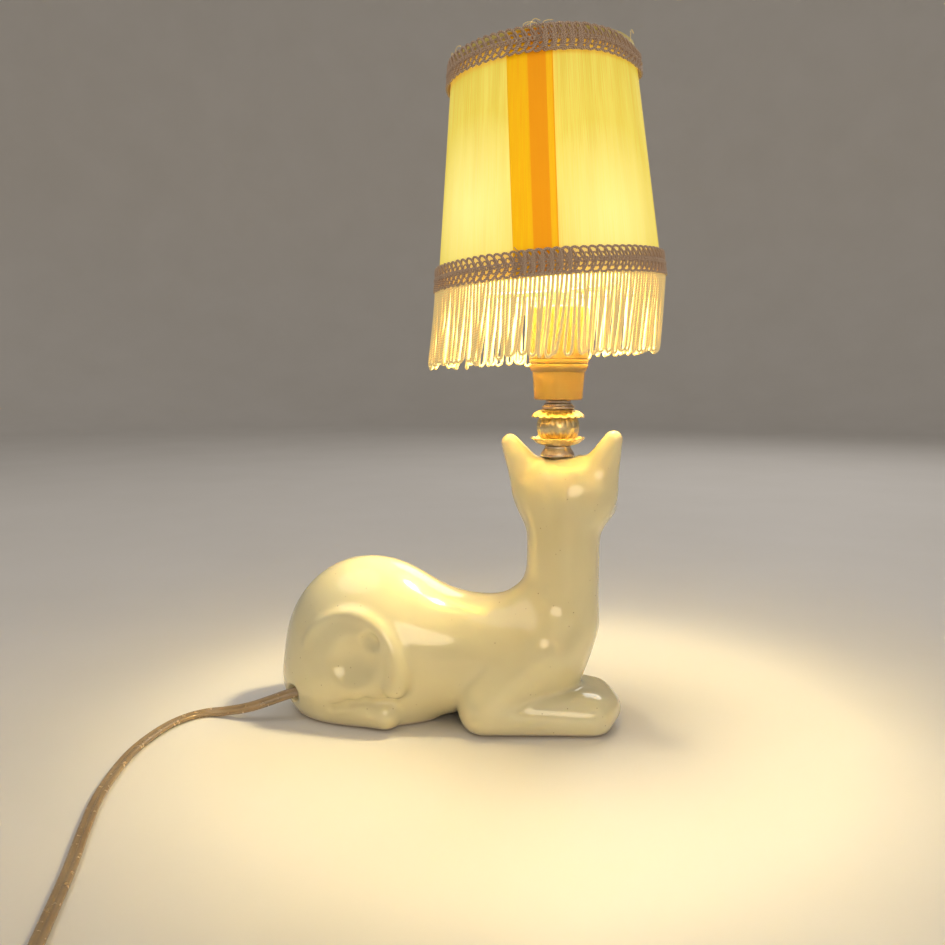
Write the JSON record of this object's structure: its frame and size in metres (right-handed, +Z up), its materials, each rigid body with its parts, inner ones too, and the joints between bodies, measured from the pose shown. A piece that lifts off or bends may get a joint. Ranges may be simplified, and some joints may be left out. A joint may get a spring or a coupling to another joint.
{
  "type": "table lamp",
  "caption": "Table lamp with a glazed ceramic reclining cat base, fluted brass stem, small screw lampholder and a clip-on tapered fabric shade with braid and loop fringe.",
  "frame": {"origin": "point on the standing surface on the vertical axis of the lamp stem", "axes": "+Z up along the stem; X along the cat from rump (-X) to paws (+X); the cat looks towards +Y"},
  "size_m": [0.2438, 0.3885, 0.3248],
  "materials": {
    "ivory_glaze": "glossy glaze",
    "zinc_steel": "zinc plated",
    "polished_brass": "polished, slightly tarnished",
    "aged_brass": "dark tarnish",
    "holder_plastic": "satin thermoplastic",
    "holder_ceramic": "unglazed",
    "bulb_solder": "solder",
    "black_insulator": "vitrified",
    "nickel_cap": "satin",
    "bulb_glass": "clear",
    "filament": "glowing",
    "clip_wire": "brassed spring wire",
    "frame_wire": "zinc plated wire",
    "shade_cloth": "fine ribbed silk on a stiff liner",
    "orange_ribbon": "satin ribbon",
    "taupe_gimp": "looped scroll braid",
    "cream_fringe": "twisted loops",
    "clear_gold_flex": "translucent over copper",
    "switch_plastic": "satin",
    "rocker_plastic": "satin",
    "tie_plastic": "matte",
    "plug_plastic": "satin",
    "nickel_pins": "nickel"
  },
  "bodies": {
    "lamp": {"ceramic_body": "ivory_glaze", "seat_washer": "zinc_steel", "seat_nut": "zinc_steel", "terminal_screw_a": "zinc_steel", "terminal_screw_b": "zinc_steel", "threaded_nipple": "polished_brass", "base_ring": "polished_brass", "lower_cup": "polished_brass", "fluted_ball": "polished_brass", "upper_cup": "polished_brass", "top_ring": "polished_brass", "screw_shell": "polished_brass", "centre_contact": "polished_brass", "lock_nut": "aged_brass", "holder_cap": "holder_plastic", "holder_skirt": "holder_plastic", "holder_insert": "holder_ceramic", "flex_lead": "clear_gold_flex", "flex_to_coil": "clear_gold_flex", "flex_coil": "clear_gold_flex", "flex_tail": "clear_gold_flex", "switch_base": "switch_plastic", "switch_cover": "switch_plastic", "coil_tie": "tie_plastic", "plug_body": "plug_plastic", "plug_pin_a": "nickel_pins", "plug_pin_b": "nickel_pins"},
    "bulb_seat": {"bulb_foot": "bulb_solder", "bulb_insulator": "black_insulator"},
    "bulb": {"bulb_cap": "nickel_cap", "bulb_glass": "bulb_glass", "bulb_stem": "bulb_glass", "filament": "filament"},
    "clip": {"bulb_clip": "clip_wire"},
    "shade": {"frame_bottom_ring": "frame_wire", "frame_top_ring": "frame_wire", "frame_strut_1": "frame_wire", "frame_strut_2": "frame_wire", "frame_strut_3": "frame_wire", "frame_strut_4": "frame_wire", "frame_arm_back": "frame_wire", "frame_arm_front": "frame_wire", "shade_fabric": "shade_cloth", "shade_stripe": "orange_ribbon", "gimp_top": "taupe_gimp", "gimp_bottom": "taupe_gimp", "fringe": "cream_fringe"},
    "rocker": {"switch_rocker": "rocker_plastic"}
  },
  "joints": [
    {"name": "bulb_rise", "type": "slide", "parent": "lamp", "child": "bulb_seat", "axis": [0, 0, 1], "range_m": [0, 0.009]},
    {"name": "bulb_unscrew", "type": "hinge", "parent": "bulb_seat", "child": "bulb", "pos_m": [0, 0, 0.195], "axis": [0, 0, 1], "range_deg": [0, 1080]},
    {"name": "clip_lift", "type": "slide", "parent": "bulb", "child": "clip", "axis": [0, 0, 1], "range_m": [0, 0.12]},
    {"name": "shade_tilt", "type": "hinge", "parent": "clip", "child": "shade", "pos_m": [0, 0, 0.262], "axis": [0, 1, 0], "range_deg": [-6, 6]},
    {"name": "switch_rock", "type": "hinge", "parent": "lamp", "child": "rocker", "pos_m": [-0.12812, -0.24755, 0.011], "axis": [0.933, 0.36, 0], "range_deg": [-12, 0]}
  ],
  "couplings": [
    {"joint": "bulb_rise", "follows": "bulb_unscrew", "m_per_rad": 0.00044913}
  ]
}
